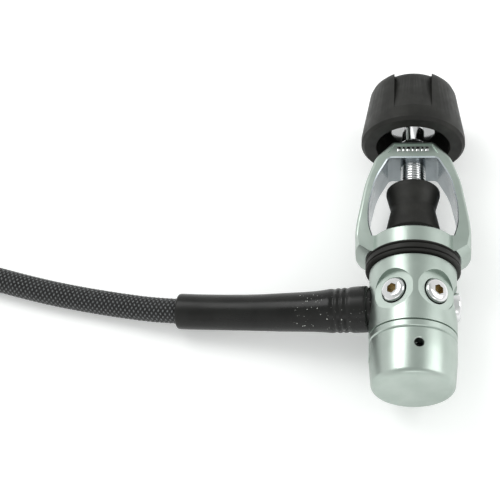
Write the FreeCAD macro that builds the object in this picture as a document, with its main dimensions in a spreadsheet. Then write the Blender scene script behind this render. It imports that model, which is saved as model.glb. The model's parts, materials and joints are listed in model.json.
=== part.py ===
# Yoke-clamp scuba regulator first stage with its braided low-pressure hose.
#
# Frame: millimetres, +Z up, origin under the middle of the first stage on the surface it lies on.
# The first stage's own axis runs along +Y, from the end cap towards the clamp knob.  Every piece
# on that axis is drawn about its own Y axis, with Y = 0 at the shoulder the yoke sits on, and
# every piece in a port is drawn about its own Z axis and turned to the port's angle.
import FreeCAD, Part
import math
import os
import re
import Sketcher

doc = FreeCAD.newDocument("first_stage")

# ------------------------------------------------------------------ driving dimensions (mm, degrees)
SIZES = [
    # valve body
    ("body_radius", 18.6), ("body_length", 36.4), ("neck_radius", 17.0), ("neck_length", 5.6),
    ("edge_round", 0.6), ("inlet_thread_radius", 9.0), ("inlet_depth", 11.0), ("relief_radius", 9.5),
    ("crown_radius", 4.0), ("web_thickness", 4.0), ("low_chamber_radius", 5.5), ("low_chamber_length", 12.0),
    ("stem_web", 4.0), ("spring_bore_radius", 12.5), ("boss_radius", 16.0), ("boss_length", 6.5),
    # ports, as angles about the axis from straight up, positive towards +X
    ("port_drop", 21.3), ("spot_face_radius", 9.2), ("spot_face_height", 16.3), ("port_bottom", 10.2),
    ("pocket_clearance", 0.55), ("seal_pocket_depth", 2.6), ("high_pocket_clearance", 0.5),
    ("seal_height", 1.6), ("low_thread_radius", 4.76),
    ("high_thread_radius", 5.56), ("low_drill_radius", 1.8), ("high_drill_radius", 0.8),
    ("high_gallery_radius", 8.0), ("left_angle", -29.0), ("right_angle", 35.5), ("back_angle", 151.0),
    ("side_angle", 94.0), ("rear_angle", -152.0), ("hose_angle", -98.0),
    # end cap and piston
    ("cap_length", 24.5), ("cap_radius", 18.5), ("cap_end_radius", 17.4), ("cap_end_round", 3.0),
    ("cap_end_wall", 3.5), ("piston_bore_radius", 14.0), ("joint_groove_width", 1.1),
    ("joint_groove_depth", 0.6), ("ring_groove_drop", 3.0), ("ambient_hole_radius", 2.0),
    ("ambient_hole_drop", 10.8), ("ambient_hole_angle", 8.0), ("piston_head_thickness", 5.0),
    ("stem_radius", 3.0), ("stem_bore_radius", 1.2), ("seat_radius", 2.2), ("seat_thickness", 0.8),
    ("piston_stroke", 1.2), ("head_clearance", 0.05),
    # spring
    ("spring_radius", 8.6), ("spring_wire_radius", 0.9), ("spring_turns", 6.0), ("shim_thickness", 0.5),
    # yoke
    ("yoke_ring_radius", 19.5), ("yoke_ring_height", 7.6), ("yoke_half_width", 24.7),
    ("yoke_half_depth", 10.0), ("yoke_height", 56.0), ("yoke_top_half_width", 8.9),
    ("window_height", 47.5), ("window_half_width", 19.0), ("window_top_half_width", 10.6),
    ("yoke_edge_round", 1.4), ("window_chamfer", 0.5), ("foot_bevel_radius", 20.6),
    ("label_depth", 0.8), ("label_bottom", 49.7), ("label_top", 54.6),
    ("label_bottom_half_width", 11.0), ("label_top_half_width", 8.2),
    ("bumper_radius", 20.35), ("bumper_groove_depth", 0.9), ("bumper_groove_width", 0.9),
    # retainer
    ("flange_radius", 11.0), ("flange_thickness", 4.6), ("nose_radius", 8.6), ("nose_height", 3.5),
    ("inlet_bore_radius", 4.0), ("filter_radius", 6.4), ("filter_thickness", 2.0),
    ("snap_ring_wire", 0.9), ("thread_gap", 0.05),
    # clamp screw and knob
    ("screw_radius", 5.5), ("screw_tip", 26.2), ("screw_tip_length", 2.0), ("shank_radius", 4.9),
    ("shank_start", 60.5), ("hub_flange_radius", 10.2), ("hub_flange_start", 67.4),
    ("hub_flange_thickness", 2.4), ("hub_radius", 7.6), ("hub_end", 83.0), ("pin_radius", 1.25),
    ("pin_station", 77.0), ("ring_radius", 6.6), ("ring_start", 57.0), ("ring_thickness", 2.4),
    ("knob_radius", 23.1), ("knob_rim", 59.2), ("knob_top", 89.2), ("knob_top_radius", 18.3),
    ("knob_mouth_radius", 16.5), ("knob_hollow_depth", 15.0), ("knob_hollow_radius", 15.6),
    ("knob_boss_radius", 10.8), ("knob_edge_round", 1.4), ("shoulder_round", 4.0), ("dish_radius", 9.0),
    ("panel_top_radius", 15.4), ("panel_foot_radius", 22.4), ("panel_foot", 67.0),
    ("panel_width", 16.6), ("lobe_rise", 1.4),
    # dust cap
    ("dust_cap_start", 12.6), ("dust_cap_end", 35.7), ("dust_cap_foot_radius", 11.8),
    ("dust_cap_waist_radius", 9.8), ("dust_cap_top_radius", 11.7), ("dust_cap_waist", 25.4),
    ("dust_cap_clearance", 0.3), ("dust_cap_seat", 0.35),
    # plugs
    ("plug_head_radius", 5.35), ("plug_head_top", 18.6), ("high_head_radius", 6.4),
    ("high_head_top", 20.2), ("low_neck_radius", 4.0), ("high_neck_radius", 5.0), ("socket_across_flats", 4.0),
    ("socket_depth", 3.0), ("plug_crown", 1.3),
    # hose end at the first stage, measured outwards from the port's spot face
    ("hose_radius", 5.5), ("hose_bore_radius", 3.2), ("fitting_hex_radius", 8.0),
    ("fitting_hex_length", 10.0), ("barb_radius", 3.15), ("barb_length", 22.0), ("bore_radius", 1.8),
    ("ferrule_wall", 1.7), ("ferrule_length", 20.0), ("sleeve_start", 0.7), ("sleeve_length", 86.2),
    ("sleeve_lip_wall", 3.5), ("sleeve_lip_length", 2.0),
    ("sleeve_body_wall", 4.4), ("sleeve_rib_wall", 3.9), ("sleeve_mid_wall", 3.0),
    ("sleeve_end_wall", 2.3), ("rib_start", 10.8), ("sleeve_slack", 0.15), ("hose_slack", 1.2),
    # coil and the hose's far end
    ("coil_x", -265.0), ("coil_y", 40.0), ("coil_inner_radius", 37.5), ("coil_outer_radius", 63.0),
    ("tie_wall", 1.0), ("tie_width", 12.0), ("tie_slack", 0.6), ("tie_angle_a", 200.0), ("tie_angle_b", 240.0),
    ("far_axis_height", 9.9), ("far_start", 59.0), ("tail_length", 20.0),
    ("nipple_radius", 4.2), ("nipple_length", 16.0),
    ("nut_across_flats", 17.0), ("nut_length", 18.0), ("nut_thread_radius", 6.45),
    ("nut_entry", 5.0), ("nut_relief_radius", 6.9),
    ("far_collar_radius", 6.3), ("far_collar_thickness", 2.0), ("nut_neck_radius", 4.3),
    # seals: radius of the rubber's own section
    ("small_seal", 0.78), ("stem_seal", 0.66), ("head_seal", 0.9), ("inlet_seal", 0.8),
]
# values that follow from the ones above
DERIVED = [
    ("body_end", "-body_length"), ("boss_end", "-body_length - boss_length"),
    ("cap_end", "-body_length - cap_length"), ("cap_floor", "cap_end + cap_end_wall"),
    ("crown_top", "-inlet_depth"), ("low_top", "-inlet_depth - web_thickness"),
    ("low_bottom", "low_top - low_chamber_length"), ("spring_seat", "low_bottom - stem_web"),
    ("head_bottom", "cap_floor + 0.1"), ("head_top", "head_bottom + piston_head_thickness"),
    ("orifice_tip", "low_top + 0.1 - 0.6"), ("seat_top", "orifice_tip - piston_stroke"),
    ("flange_top", "yoke_ring_height + flange_thickness"), ("clamp_face", "flange_top + nose_height"),
    ("filter_top", "clamp_face - 1.4"), ("axis_height", "knob_radius"),
    ("hollow_end", "knob_rim + knob_hollow_depth"), ("hub_flange_end", "hub_flange_start + hub_flange_thickness"),
    ("shoulder_y", "-(cap_end + knob_top + lobe_rise) / 2"), ("seal_seat", "spot_face_height - seal_pocket_depth"),
    ("seal_pocket_radius", "plug_head_radius + pocket_clearance"),
    ("high_pocket_radius", "high_head_radius + high_pocket_clearance"),
    ("ferrule_radius", "hose_radius + ferrule_wall"), ("sleeve_lip_radius", "hose_radius + sleeve_lip_wall"),
    ("sleeve_body_radius", "hose_radius + sleeve_body_wall"), ("sleeve_rib_radius", "hose_radius + sleeve_rib_wall"),
    ("sleeve_mid_radius", "hose_radius + sleeve_mid_wall"), ("sleeve_end_radius", "hose_radius + sleeve_end_wall"),
]

sheet = doc.addObject("Spreadsheet::Sheet", "sizes")
for row, (alias, size) in enumerate(SIZES + DERIVED, start=1):
    sheet.set("A%d" % row, alias.replace("_", " "))
    sheet.set("B%d" % row, "=" + size if isinstance(size, str) else str(size))
    sheet.setAlias("B%d" % row, alias)
doc.recompute()

ALIASES = {alias for alias, _ in SIZES + DERIVED}


def cells(text):
    """An expression in plain size names, with each name pointed at its cell."""
    return re.sub(r"[a-z_]+", lambda word: "sizes." + word[0] if word[0] in ALIASES else word[0], str(text))


def value(text):
    """The expression's present number."""
    number = sheet.evalExpression(cells(text))
    return float(getattr(number, "Value", number))


# ------------------------------------------------------------------ drawing helpers
NODES = []


def origin_feature(body, role):
    """The body's own origin plane or axis with this role."""
    return next(item for item in body.Origin.OriginFeatures if item.Role == role)


def new_body(name):
    body = doc.addObject("PartDesign::Body", name)
    body.Label = name
    return body


def bind(thing, prop, text):
    """Tie one property to the sheet."""
    thing.setExpression(prop, cells(text))


def sketch_on(body, name, plane, offset=("0", "0", "0"), turn=None):
    """A sketch on an origin plane, moved by offset in the plane's own axes and turned about its x axis."""
    sketch = body.newObject("Sketcher::SketchObject", name)
    sketch.AttachmentSupport = [(origin_feature(body, plane), "")]
    sketch.MapMode = "FlatFace"
    angle = value(turn) if turn else 0.0
    base = FreeCAD.Vector(*(value(text) for text in offset))
    sketch.AttachmentOffset = FreeCAD.Placement(base, FreeCAD.Rotation(FreeCAD.Vector(1, 0, 0), angle))
    for letter, text in zip("xyz", offset):
        if text != "0":
            bind(sketch, "AttachmentOffset.Base." + letter, text)
    if turn:
        bind(sketch, "AttachmentOffset.Rotation.Angle", turn)
    return sketch


def pin_point(sketch, line, across, along):
    """Hold a line's first end at two expressions."""
    for kind, axis, text in (("DistanceX", -2, across), ("DistanceY", -1, along)):
        size = value(text)
        if abs(size) < 1e-9:
            sketch.addConstraint(Sketcher.Constraint("PointOnObject", line, 1, axis))
            continue
        index = sketch.addConstraint(Sketcher.Constraint(kind, -1, 1, line, 1, size))
        bind(sketch, "Constraints[%d]" % index, text)


def outline(sketch, points):
    """A closed outline of straight lines through points, each two expressions."""
    ends = [FreeCAD.Vector(value(across), value(along), 0) for across, along in points]
    lines = [Part.LineSegment(ends[i], ends[(i + 1) % len(ends)]) for i in range(len(ends))]
    first = sketch.GeometryCount
    sketch.addGeometry(lines, False)
    count = len(ends)
    sketch.addConstraint([Sketcher.Constraint("Coincident", first + i, 2, first + (i + 1) % count, 1)
                          for i in range(count)])
    for i, (across, along) in enumerate(points):
        pin_point(sketch, first + i, across, along)


def circle(sketch, across, along, radius):
    """A circle whose centre and radius are expressions."""
    centre = FreeCAD.Vector(value(across), value(along), 0)
    index = sketch.addGeometry(Part.Circle(centre, FreeCAD.Vector(0, 0, 1), value(radius)), False)
    for kind, axis, text in (("DistanceX", -2, across), ("DistanceY", -1, along)):
        if abs(value(text)) < 1e-9:
            sketch.addConstraint(Sketcher.Constraint("PointOnObject", index, 3, axis))
        else:
            place = sketch.addConstraint(Sketcher.Constraint(kind, -1, 1, index, 3, value(text)))
            bind(sketch, "Constraints[%d]" % place, text)
    size = sketch.addConstraint(Sketcher.Constraint("Radius", index, value(radius)))
    bind(sketch, "Constraints[%d]" % size, radius)


def spin(body, name, points, plane="XY_Plane", cut=False, ring=None, **where):
    """Revolve an outline, or a ring's round section, about the sketch's own vertical axis."""
    sketch = sketch_on(body, name + "_sketch", plane, **where)
    if ring:
        circle(sketch, *ring)
    else:
        outline(sketch, points)
    before = body.Shape.Volume if cut else 0.0
    feature = body.newObject("PartDesign::Groove" if cut else "PartDesign::Revolution", name)
    feature.Profile = sketch
    feature.ReferenceAxis = (sketch, ["V_Axis"])
    feature.Angle = 360.0
    doc.recompute()
    if cut and not body.Shape.Volume < before - 1e-3:
        raise RuntimeError(name + " cuts nothing")
    return feature


def pad(body, name, points, plane, length, cut=False, both=False, flip=False, **where):
    """Pad or pocket an outline by length, to both sides of its plane if both is set."""
    sketch = sketch_on(body, name + "_sketch", plane, **where)
    outline(sketch, points)
    before = body.Shape.Volume if cut else 0.0
    feature = body.newObject("PartDesign::Pocket" if cut else "PartDesign::Pad", name)
    feature.Profile = sketch
    feature.Midplane = both
    feature.Reversed = flip
    bind(feature, "Length", length)
    doc.recompute()
    if cut and not body.Shape.Volume < before - 1e-3:
        raise RuntimeError(name + " cuts nothing")
    return feature


def around(body, feature, count, axis="Y_Axis"):
    """Repeat a feature evenly about one of the body's axes."""
    pattern = body.newObject("PartDesign::PolarPattern", feature.Name + "_pattern")
    pattern.Originals = [feature]
    pattern.Axis = (origin_feature(body, axis), [""])
    pattern.Angle = 360.0
    pattern.Occurrences = count
    body.Tip = pattern
    doc.recompute()
    return pattern


def hexagon(across_flats):
    """Corners of a regular hexagon as expressions."""
    return [("%s / sqrt(3) * cos(%d)" % (across_flats, angle), "%s / sqrt(3) * sin(%d)" % (across_flats, angle))
            for angle in range(30, 390, 60)]


def break_edges(body, name, kind, size, wanted):
    """Fillet or chamfer every edge of the body that wanted(edge) picks."""
    names = ["Edge%d" % number for number, edge in enumerate(body.Shape.Edges, start=1) if wanted(edge)]
    base = body.Tip
    feature = body.newObject("PartDesign::" + kind, name)
    feature.Base = (base, names)
    bind(feature, "Radius" if kind == "Fillet" else "Size", size)
    doc.recompute()
    return feature


def at_station(edge, station, radius=None):
    """Whether a round edge lies flat at this distance along the main axis."""
    box = edge.BoundBox
    if abs(box.YMin - value(station)) > 1e-4 or abs(box.YMax - value(station)) > 1e-4:
        return False
    return radius is None or abs(box.XLength / 2 - value(radius)) < 1e-3


def on_axis(body):
    """Place a piece on the first stage's axis and keep it as a node."""
    bind(body, "Placement.Base.y", "shoulder_y")
    bind(body, "Placement.Base.z", "axis_height")
    NODES.append(body)
    return body


def in_port(body, angle, keep=True):
    """Turn a piece drawn along +Z into the port at this angle."""
    turn = FreeCAD.Rotation(FreeCAD.Vector(0, 1, 0), value(angle))
    body.Placement = FreeCAD.Placement(FreeCAD.Vector(0, 0, 0), turn)
    bind(body, "Placement.Base.y", "shoulder_y - port_drop")
    bind(body, "Placement.Base.z", "axis_height")
    bind(body, "Placement.Rotation.Angle", angle)
    if keep:
        NODES.append(body)
    return body


def group(name, pieces):
    """Identical separate solids kept as one node."""
    compound = doc.addObject("Part::Compound", name)
    compound.Label = name
    compound.Links = pieces
    doc.recompute()
    NODES.append(compound)


def seal(name, centre_radius, station, section):
    """An O-ring about the main axis."""
    body = new_body(name)
    spin(body, name + "_ring", None, ring=(centre_radius, station, section))
    return on_axis(body)


# ------------------------------------------------------------------ valve body
PORTS = {
    "left": ("left_angle", "low"), "right": ("right_angle", "low"), "back": ("back_angle", "low"),
    "hose": ("hose_angle", "low"), "side": ("side_angle", "high"), "rear": ("rear_angle", "high"),
}


def make_body():
    body = new_body("body")
    spin(body, "casting", [
        ("0", "0"), ("neck_radius", "0"), ("neck_radius", "-neck_length"), ("body_radius - edge_round", "-neck_length"),
        ("body_radius", "-neck_length - edge_round"), ("body_radius", "body_end"), ("boss_radius", "body_end"),
        ("boss_radius", "boss_end"), ("0", "boss_end")])
    spin(body, "inlet_bore", [
        ("0", "0"), ("inlet_thread_radius", "0"), ("inlet_thread_radius", "crown_top + 1.5"),
        ("relief_radius", "crown_top + 1.5"), ("relief_radius", "crown_top"), ("crown_radius", "crown_top"),
        ("crown_radius", "low_top"), ("0", "low_top")], cut=True)
    spin(body, "low_chamber", [
        ("0", "low_top"), ("low_chamber_radius", "low_top"), ("low_chamber_radius", "low_bottom"),
        ("stem_radius + 0.05", "low_bottom"), ("stem_radius + 0.05", "spring_seat"),
        ("spring_bore_radius", "spring_seat"), ("spring_bore_radius", "boss_end"), ("0", "boss_end")], cut=True)
    spin(body, "stem_seal_groove", [
        ("stem_radius", "low_bottom - 1.1"), ("stem_radius + 1.45", "low_bottom - 1.1"),
        ("stem_radius + 1.45", "low_bottom - 2.9"), ("stem_radius", "low_bottom - 2.9")], cut=True)
    for port, (angle, kind) in PORTS.items():
        thread = kind + "_thread_radius"
        pocket = "seal_pocket_radius" if kind == "low" else "high_pocket_radius"
        reach = "low_chamber_radius - 0.4" if kind == "low" else "high_gallery_radius - 0.4"
        spin(body, port + "_port", [
            ("0", reach), (kind + "_drill_radius", reach), (kind + "_drill_radius", "port_bottom"),
            (thread, "port_bottom"), (thread, "seal_seat"), (pocket, "seal_seat"),
            (pocket, "spot_face_height"), ("spot_face_radius", "spot_face_height"),
            ("spot_face_radius", "body_radius + 1"), ("0", "body_radius + 1")],
            plane="YZ_Plane", cut=True, offset=("-port_drop", "0", "0"), turn=angle)
        if kind == "high":
            gallery = sketch_on(body, port + "_gallery_sketch", "XZ_Plane", offset=("0", "0", "inlet_depth - 0.5"))
            circle(gallery, "high_gallery_radius * sin(%s)" % angle, "high_gallery_radius * cos(%s)" % angle,
                   "high_drill_radius")
            drilled = body.newObject("PartDesign::Pocket", port + "_gallery")
            drilled.Profile = gallery
            before = body.Shape.Volume
            drilled.Reversed = True
            bind(drilled, "Length", "port_drop - inlet_depth + 0.5")
            doc.recompute()
            if not body.Shape.Volume < before - 1e-3:
                raise RuntimeError(port + " gallery cuts nothing")
    return on_axis(body)


def make_bumper_ring():
    body = new_body("bumper_ring")
    third = "neck_length / 4"
    half = "bumper_groove_width / 2"
    deep = "bumper_radius - bumper_groove_depth"
    points = [("neck_radius + 0.05", "-0.1"), ("bumper_radius - 0.5", "-0.1"), ("bumper_radius", "-0.6")]
    for groove in (1, 3):
        middle = "-%s * %d" % (third, groove)
        points += [("bumper_radius", "%s + %s" % (middle, half)), (deep, middle),
                   ("bumper_radius", "%s - %s" % (middle, half))]
    points += [("bumper_radius", "-neck_length + 0.6"), ("bumper_radius - 0.5", "-neck_length + 0.1"),
               ("neck_radius + 0.05", "-neck_length + 0.1")]
    spin(body, "bumper", points)
    return on_axis(body)


def make_end_cap():
    body = new_body("end_cap")
    groove_bottom = "cap_radius - joint_groove_depth"
    spin(body, "cap_shell", [
        ("boss_radius + 0.02", "body_end"), ("cap_radius - joint_groove_depth", "body_end"),
        ("cap_radius", "body_end - joint_groove_width * 0.6"),
        ("cap_radius", "body_end - ring_groove_drop"),
        (groove_bottom, "body_end - ring_groove_drop - joint_groove_width / 2"),
        ("cap_radius", "body_end - ring_groove_drop - joint_groove_width"),
        ("cap_radius", "body_end - ambient_hole_drop"), ("cap_end_radius", "cap_end"), ("0", "cap_end"),
        ("0", "cap_floor"), ("piston_bore_radius", "cap_floor"), ("piston_bore_radius", "boss_end - 0.6"),
        ("boss_radius + 0.02", "boss_end - 0.6")])
    break_edges(body, "cap_end_fillet", "Fillet", "cap_end_round",
                lambda edge: at_station(edge, "cap_end", "cap_end_radius"))
    hole = spin(body, "ambient_hole", [
        ("0", "piston_bore_radius - 1"), ("ambient_hole_radius", "piston_bore_radius - 1"),
        ("ambient_hole_radius", "cap_radius - 0.45"), ("ambient_hole_radius + 0.6", "cap_radius + 0.2"),
        ("ambient_hole_radius + 0.6", "cap_radius + 2"), ("0", "cap_radius + 2")],
        plane="YZ_Plane", cut=True, offset=("body_end - ambient_hole_drop", "0", "0"), turn="ambient_hole_angle")
    around(body, hole, 4)
    return on_axis(body)


# ------------------------------------------------------------------ yoke, retainer and inlet
def make_yoke():
    body = new_body("yoke")
    spin(body, "base_ring", [
        ("0", "0"), ("yoke_ring_radius", "0"), ("yoke_ring_radius", "yoke_ring_height - 0.8"),
        ("yoke_ring_radius - 0.8", "yoke_ring_height"), ("0", "yoke_ring_height")])
    half = [("yoke_half_width", "0"), ("yoke_half_width", "12"), ("yoke_half_width * 0.842", "yoke_height - 21"),
            ("yoke_half_width * 0.664", "yoke_height - 8.2"), ("yoke_top_half_width", "yoke_height")]
    full = half + [("-" + across, along) for across, along in reversed(half)]
    pad(body, "arms", full, "XY_Plane", "yoke_half_depth * 2", both=True)
    gap = [("window_half_width - 1.8", "yoke_ring_height"), ("window_half_width", "yoke_ring_height + 6"),
           ("window_half_width", "yoke_ring_height + 15.4"),
           ("window_half_width * 0.853", "window_height - 10.5"), ("window_top_half_width", "window_height")]
    gap += [("-(%s)" % across, along) for across, along in reversed(gap)]
    pad(body, "window", gap, "XY_Plane", "yoke_half_depth * 2 + 2", cut=True, both=True)
    rounds = [("yoke_half_width", "12", 60), ("yoke_half_width * 0.842", "yoke_height - 21", 50),
              ("yoke_half_width * 0.664", "yoke_height - 8.2", 12), ("yoke_top_half_width", "yoke_height", 2.0),
              ("window_half_width", "yoke_ring_height + 6", 20), ("window_half_width", "yoke_ring_height + 15.4", 40),
              ("window_half_width * 0.853", "window_height - 10.5", 30), ("window_top_half_width", "window_height", 2.5)]
    for number, (across, along, radius) in enumerate(rounds, start=1):
        def corner(edge, across=value(across), along=value(along)):
            box = edge.BoundBox
            upright = box.XLength < 1e-4 and box.YLength < 1e-4 and box.ZLength > value("yoke_half_depth")
            return upright and abs(abs(box.XMin) - across) < 1e-3 and abs(box.YMin - along) < 1e-3
        break_edges(body, "corner_%d" % number, "Fillet", str(radius), corner)

    spin(body, "foot_bevel", [
        ("foot_bevel_radius", "-0.1"), ("yoke_half_width + 0.2", "3.2"), ("yoke_half_width + 2.6", "yoke_ring_height + 9"),
        ("yoke_half_width + 6", "yoke_ring_height + 9"), ("yoke_half_width + 6", "-0.1")], cut=True)

    def face_edges(outside):
        """The straight and round edges of the front and back faces, round the outside or the window."""
        def wanted(edge):
            box = edge.BoundBox
            on_face = box.ZLength < 1e-4 and abs(abs(box.ZMin) - value("yoke_half_depth")) < 1e-4
            middle = edge.valueAt((edge.FirstParameter + edge.LastParameter) / 2)
            rise = (middle.y - value("yoke_ring_height")) / value("window_height - yoke_ring_height")
            divide = value("(window_half_width + yoke_half_width) / 2") * (1 - 0.45 * max(0.0, rise) ** 2)
            outer = abs(middle.x) > divide or middle.y > value("(window_height + yoke_height) / 2")
            return on_face and middle.y > value("yoke_ring_height") + 0.05 and outer == outside
        return wanted
    break_edges(body, "outer_round", "Fillet", "yoke_edge_round", face_edges(True))
    break_edges(body, "window_edge", "Chamfer", "window_chamfer", face_edges(False))
    label = [("label_bottom_half_width", "label_bottom"), ("label_top_half_width", "label_top"),
             ("-label_top_half_width", "label_top"), ("-label_bottom_half_width", "label_bottom")]
    pad(body, "label_recess", label, "XY_Plane", "label_depth + 1", cut=True, flip=True,
        offset=("0", "0", "yoke_half_depth - label_depth"))
    spin(body, "retainer_hole", [
        ("0", "-1"), ("inlet_thread_radius + 0.4", "-1"), ("inlet_thread_radius + 0.4", "yoke_ring_height + 1"),
        ("0", "yoke_ring_height + 1")], cut=True)
    spin(body, "screw_hole", [
        ("0", "window_height - 1"), ("screw_radius + 0.1", "window_height - 1"),
        ("screw_radius + 0.1", "yoke_height - 0.8"), ("screw_radius + 1", "yoke_height + 0.1"),
        ("0", "yoke_height + 0.1")], cut=True)
    return on_axis(body)


def make_retainer():
    body = new_body("yoke_retainer")
    shank = "inlet_thread_radius - thread_gap"
    spin(body, "retainer_blank", [
        ("inlet_bore_radius", "crown_top + 2"), (shank + " - 0.8", "crown_top + 2"), (shank, "crown_top + 2.8"),
        (shank, "-5"), ("inlet_thread_radius - 1.5", "-5"), ("inlet_thread_radius - 1.5", "-3.2"), (shank, "-3.2"),
        (shank, "yoke_ring_height"), ("flange_radius", "yoke_ring_height"),
        ("flange_radius", "flange_top - 0.5"), ("flange_radius - 0.5", "flange_top"), ("nose_radius", "flange_top"),
        ("nose_radius", "clamp_face - 0.4"), ("nose_radius - 0.4", "clamp_face"),
        ("filter_radius + 0.1", "clamp_face"), ("filter_radius + 0.1", "filter_top - filter_thickness"),
        ("inlet_bore_radius", "filter_top - filter_thickness - 1.5")])
    return on_axis(body)


def make_inlet_filter():
    body = new_body("inlet_filter")
    bottom = "filter_top - filter_thickness"
    spin(body, "filter_disc", [
        ("0", bottom), ("filter_radius", bottom), ("filter_radius", "filter_top - 0.4"),
        ("filter_radius - 0.4", "filter_top"), ("0", "filter_top")])
    return on_axis(body)


def make_snap_ring():
    """A round wire ring with a gap, sprung into the retainer above the filter."""
    body = new_body("filter_snap_ring")
    feature = spin(body, "ring", None,
                   ring=("filter_radius - snap_ring_wire / 2 + 0.05", "filter_top + snap_ring_wire / 2",
                         "snap_ring_wire / 2"))
    feature.Angle = 320.0
    doc.recompute()
    return on_axis(body)


def make_orifice():
    body = new_body("seat_orifice")
    spin(body, "crown", [
        ("1.2", "orifice_tip"), ("1.7", "orifice_tip"), ("2.6", "orifice_tip + 1.1"),
        ("crown_radius - thread_gap", "low_top + 1.1"), ("crown_radius - thread_gap", "crown_top"),
        ("crown_radius + 1.6", "crown_top"), ("crown_radius + 1.6", "crown_top + 1.2"), ("2.2", "crown_top + 1.2"),
        ("1.2", "crown_top - 0.8")])
    return on_axis(body)


# ------------------------------------------------------------------ piston and spring
def make_piston():
    body = new_body("piston")
    head = "piston_bore_radius - head_clearance"
    groove = "piston_bore_radius - 1.9"
    middle = "(head_bottom + head_top) / 2"
    spin(body, "piston_blank", [
        ("stem_bore_radius", "head_bottom"), (head, "head_bottom"), (head, middle + " - 1"), (groove, middle + " - 1"),
        (groove, middle + " + 1"), (head, middle + " + 1"), (head, "head_top"), ("stem_radius + 2.4", "head_top"),
        ("stem_radius", "head_top + 2.4"), ("stem_radius", "seat_top - seat_thickness"),
        ("seat_radius + 0.05", "seat_top - seat_thickness"), ("seat_radius + 0.05", "seat_top - 2.4"),
        ("stem_bore_radius", "seat_top - 2.4")])
    hole = spin(body, "cross_hole", [
        ("0", "0"), ("0.7", "0"), ("0.7", "stem_radius + 1"), ("0", "stem_radius + 1")],
        plane="YZ_Plane", cut=True, offset=("seat_top - 4", "0", "0"))
    around(body, hole, 4)
    return on_axis(body)


def make_piston_seat():
    body = new_body("piston_seat")
    spin(body, "seat", [
        ("0", "seat_top - 2.35"), ("seat_radius", "seat_top - 2.35"), ("seat_radius", "seat_top - 0.2"),
        ("seat_radius - 0.2", "seat_top"), ("0", "seat_top")])
    return on_axis(body)


def make_spring():
    """Round wire wound about the piston's stem, between the piston's head and the shim."""
    body = new_body("main_spring")
    start = "head_top + spring_wire_radius + 0.02"
    sketch = sketch_on(body, "wire_section", "XY_Plane")
    circle(sketch, "spring_radius", start, "spring_wire_radius")
    helix = body.newObject("PartDesign::AdditiveHelix", "winding")
    helix.Profile = sketch
    helix.ReferenceAxis = (sketch, ["V_Axis"])
    helix.Mode = "height-turns-angle"
    bind(helix, "Height", "spring_seat - shim_thickness - head_top - 2 * spring_wire_radius - 0.06")
    bind(helix, "Turns", "spring_turns")
    helix.Angle = 0.0
    helix.Growth = 0.0
    doc.recompute()
    return on_axis(body)


def make_shim():
    body = new_body("spring_shim")
    spin(body, "shim", [
        ("stem_radius + 1", "spring_seat"), ("spring_bore_radius - 0.3", "spring_seat"),
        ("spring_bore_radius - 0.3", "spring_seat - shim_thickness"),
        ("stem_radius + 1", "spring_seat - shim_thickness")])
    return on_axis(body)


# ------------------------------------------------------------------ clamp screw, knob and dust cap
def make_screw():
    body = new_body("yoke_screw")
    spin(body, "screw", [
        ("0", "screw_tip"), ("screw_radius - 1.6", "screw_tip"), ("screw_radius", "screw_tip + screw_tip_length"),
        ("screw_radius", "shank_start - 4"), ("shank_radius", "shank_start - 3.4"),
        ("shank_radius", "hub_end - 0.4"), ("shank_radius - 0.4", "hub_end"), ("0", "hub_end")])
    spin(body, "pin_hole", [
        ("0", "-hub_radius"), ("pin_radius + 0.02", "-hub_radius"), ("pin_radius + 0.02", "hub_radius"),
        ("0", "hub_radius")], plane="YZ_Plane", cut=True, offset=("pin_station", "0", "0"), turn="90")
    return on_axis(body)


def make_hub():
    body = new_body("knob_hub")
    spin(body, "hub", [
        ("shank_radius + 0.03", "hub_flange_start"), ("hub_flange_radius - 0.6", "hub_flange_start"),
        ("hub_flange_radius", "hub_flange_start + 0.6"), ("hub_flange_radius", "hub_flange_end"),
        ("hub_radius", "hub_flange_end"), ("hub_radius", "hub_end"), ("shank_radius + 0.03", "hub_end")])
    spin(body, "pin_hole_in_hub", [
        ("0", "-hub_radius - 1"), ("pin_radius + 0.02", "-hub_radius - 1"), ("pin_radius + 0.02", "hub_radius + 1"),
        ("0", "hub_radius + 1")], plane="YZ_Plane", cut=True, offset=("pin_station", "0", "0"), turn="90")
    return on_axis(body)


def make_pin():
    body = new_body("knob_pin")
    spin(body, "pin", [
        ("0", "-hub_radius + 0.1"), ("pin_radius", "-hub_radius + 0.1"), ("pin_radius", "hub_radius - 0.1"),
        ("0", "hub_radius - 0.1")], plane="YZ_Plane", offset=("pin_station", "0", "0"), turn="90")
    return on_axis(body)


def make_screw_ring():
    body = new_body("screw_ring")
    spin(body, "ring_blank", [
        ("shank_radius + 0.1", "ring_start"), ("ring_radius - 0.7", "ring_start"), ("ring_radius", "ring_start + 0.7"),
        ("ring_radius", "ring_start + ring_thickness - 0.7"), ("ring_radius - 0.7", "ring_start + ring_thickness"),
        ("shank_radius + 0.1", "ring_start + ring_thickness")])
    return on_axis(body)


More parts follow.
